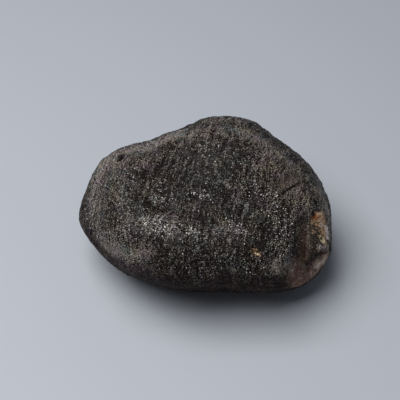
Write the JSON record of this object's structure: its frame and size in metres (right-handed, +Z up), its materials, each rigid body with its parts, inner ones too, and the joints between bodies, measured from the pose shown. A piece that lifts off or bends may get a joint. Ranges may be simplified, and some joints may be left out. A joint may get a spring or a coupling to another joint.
{
  "type": "tektite",
  "caption": "Natural dark glass tektite, a lumpy oval pebble with a frosted grainy skin, worn dents and rusty stains, that lies flat.",
  "frame": {"origin": "middle of the stone's box in X and Y, on the plane that its rest flat lies on", "axes": "+X along the stone's length, +Y towards its high rounded back, +Z up"},
  "size_m": [0.0498, 0.0404, 0.0284],
  "materials": {
    "tektite_glass": "frosted natural glass, brown-grey to black, fine sparkling grain, orange-brown stains in a few pits"
  },
  "bodies": {
    "root": {"tektite": "tektite_glass"}
  },
  "joints": []
}
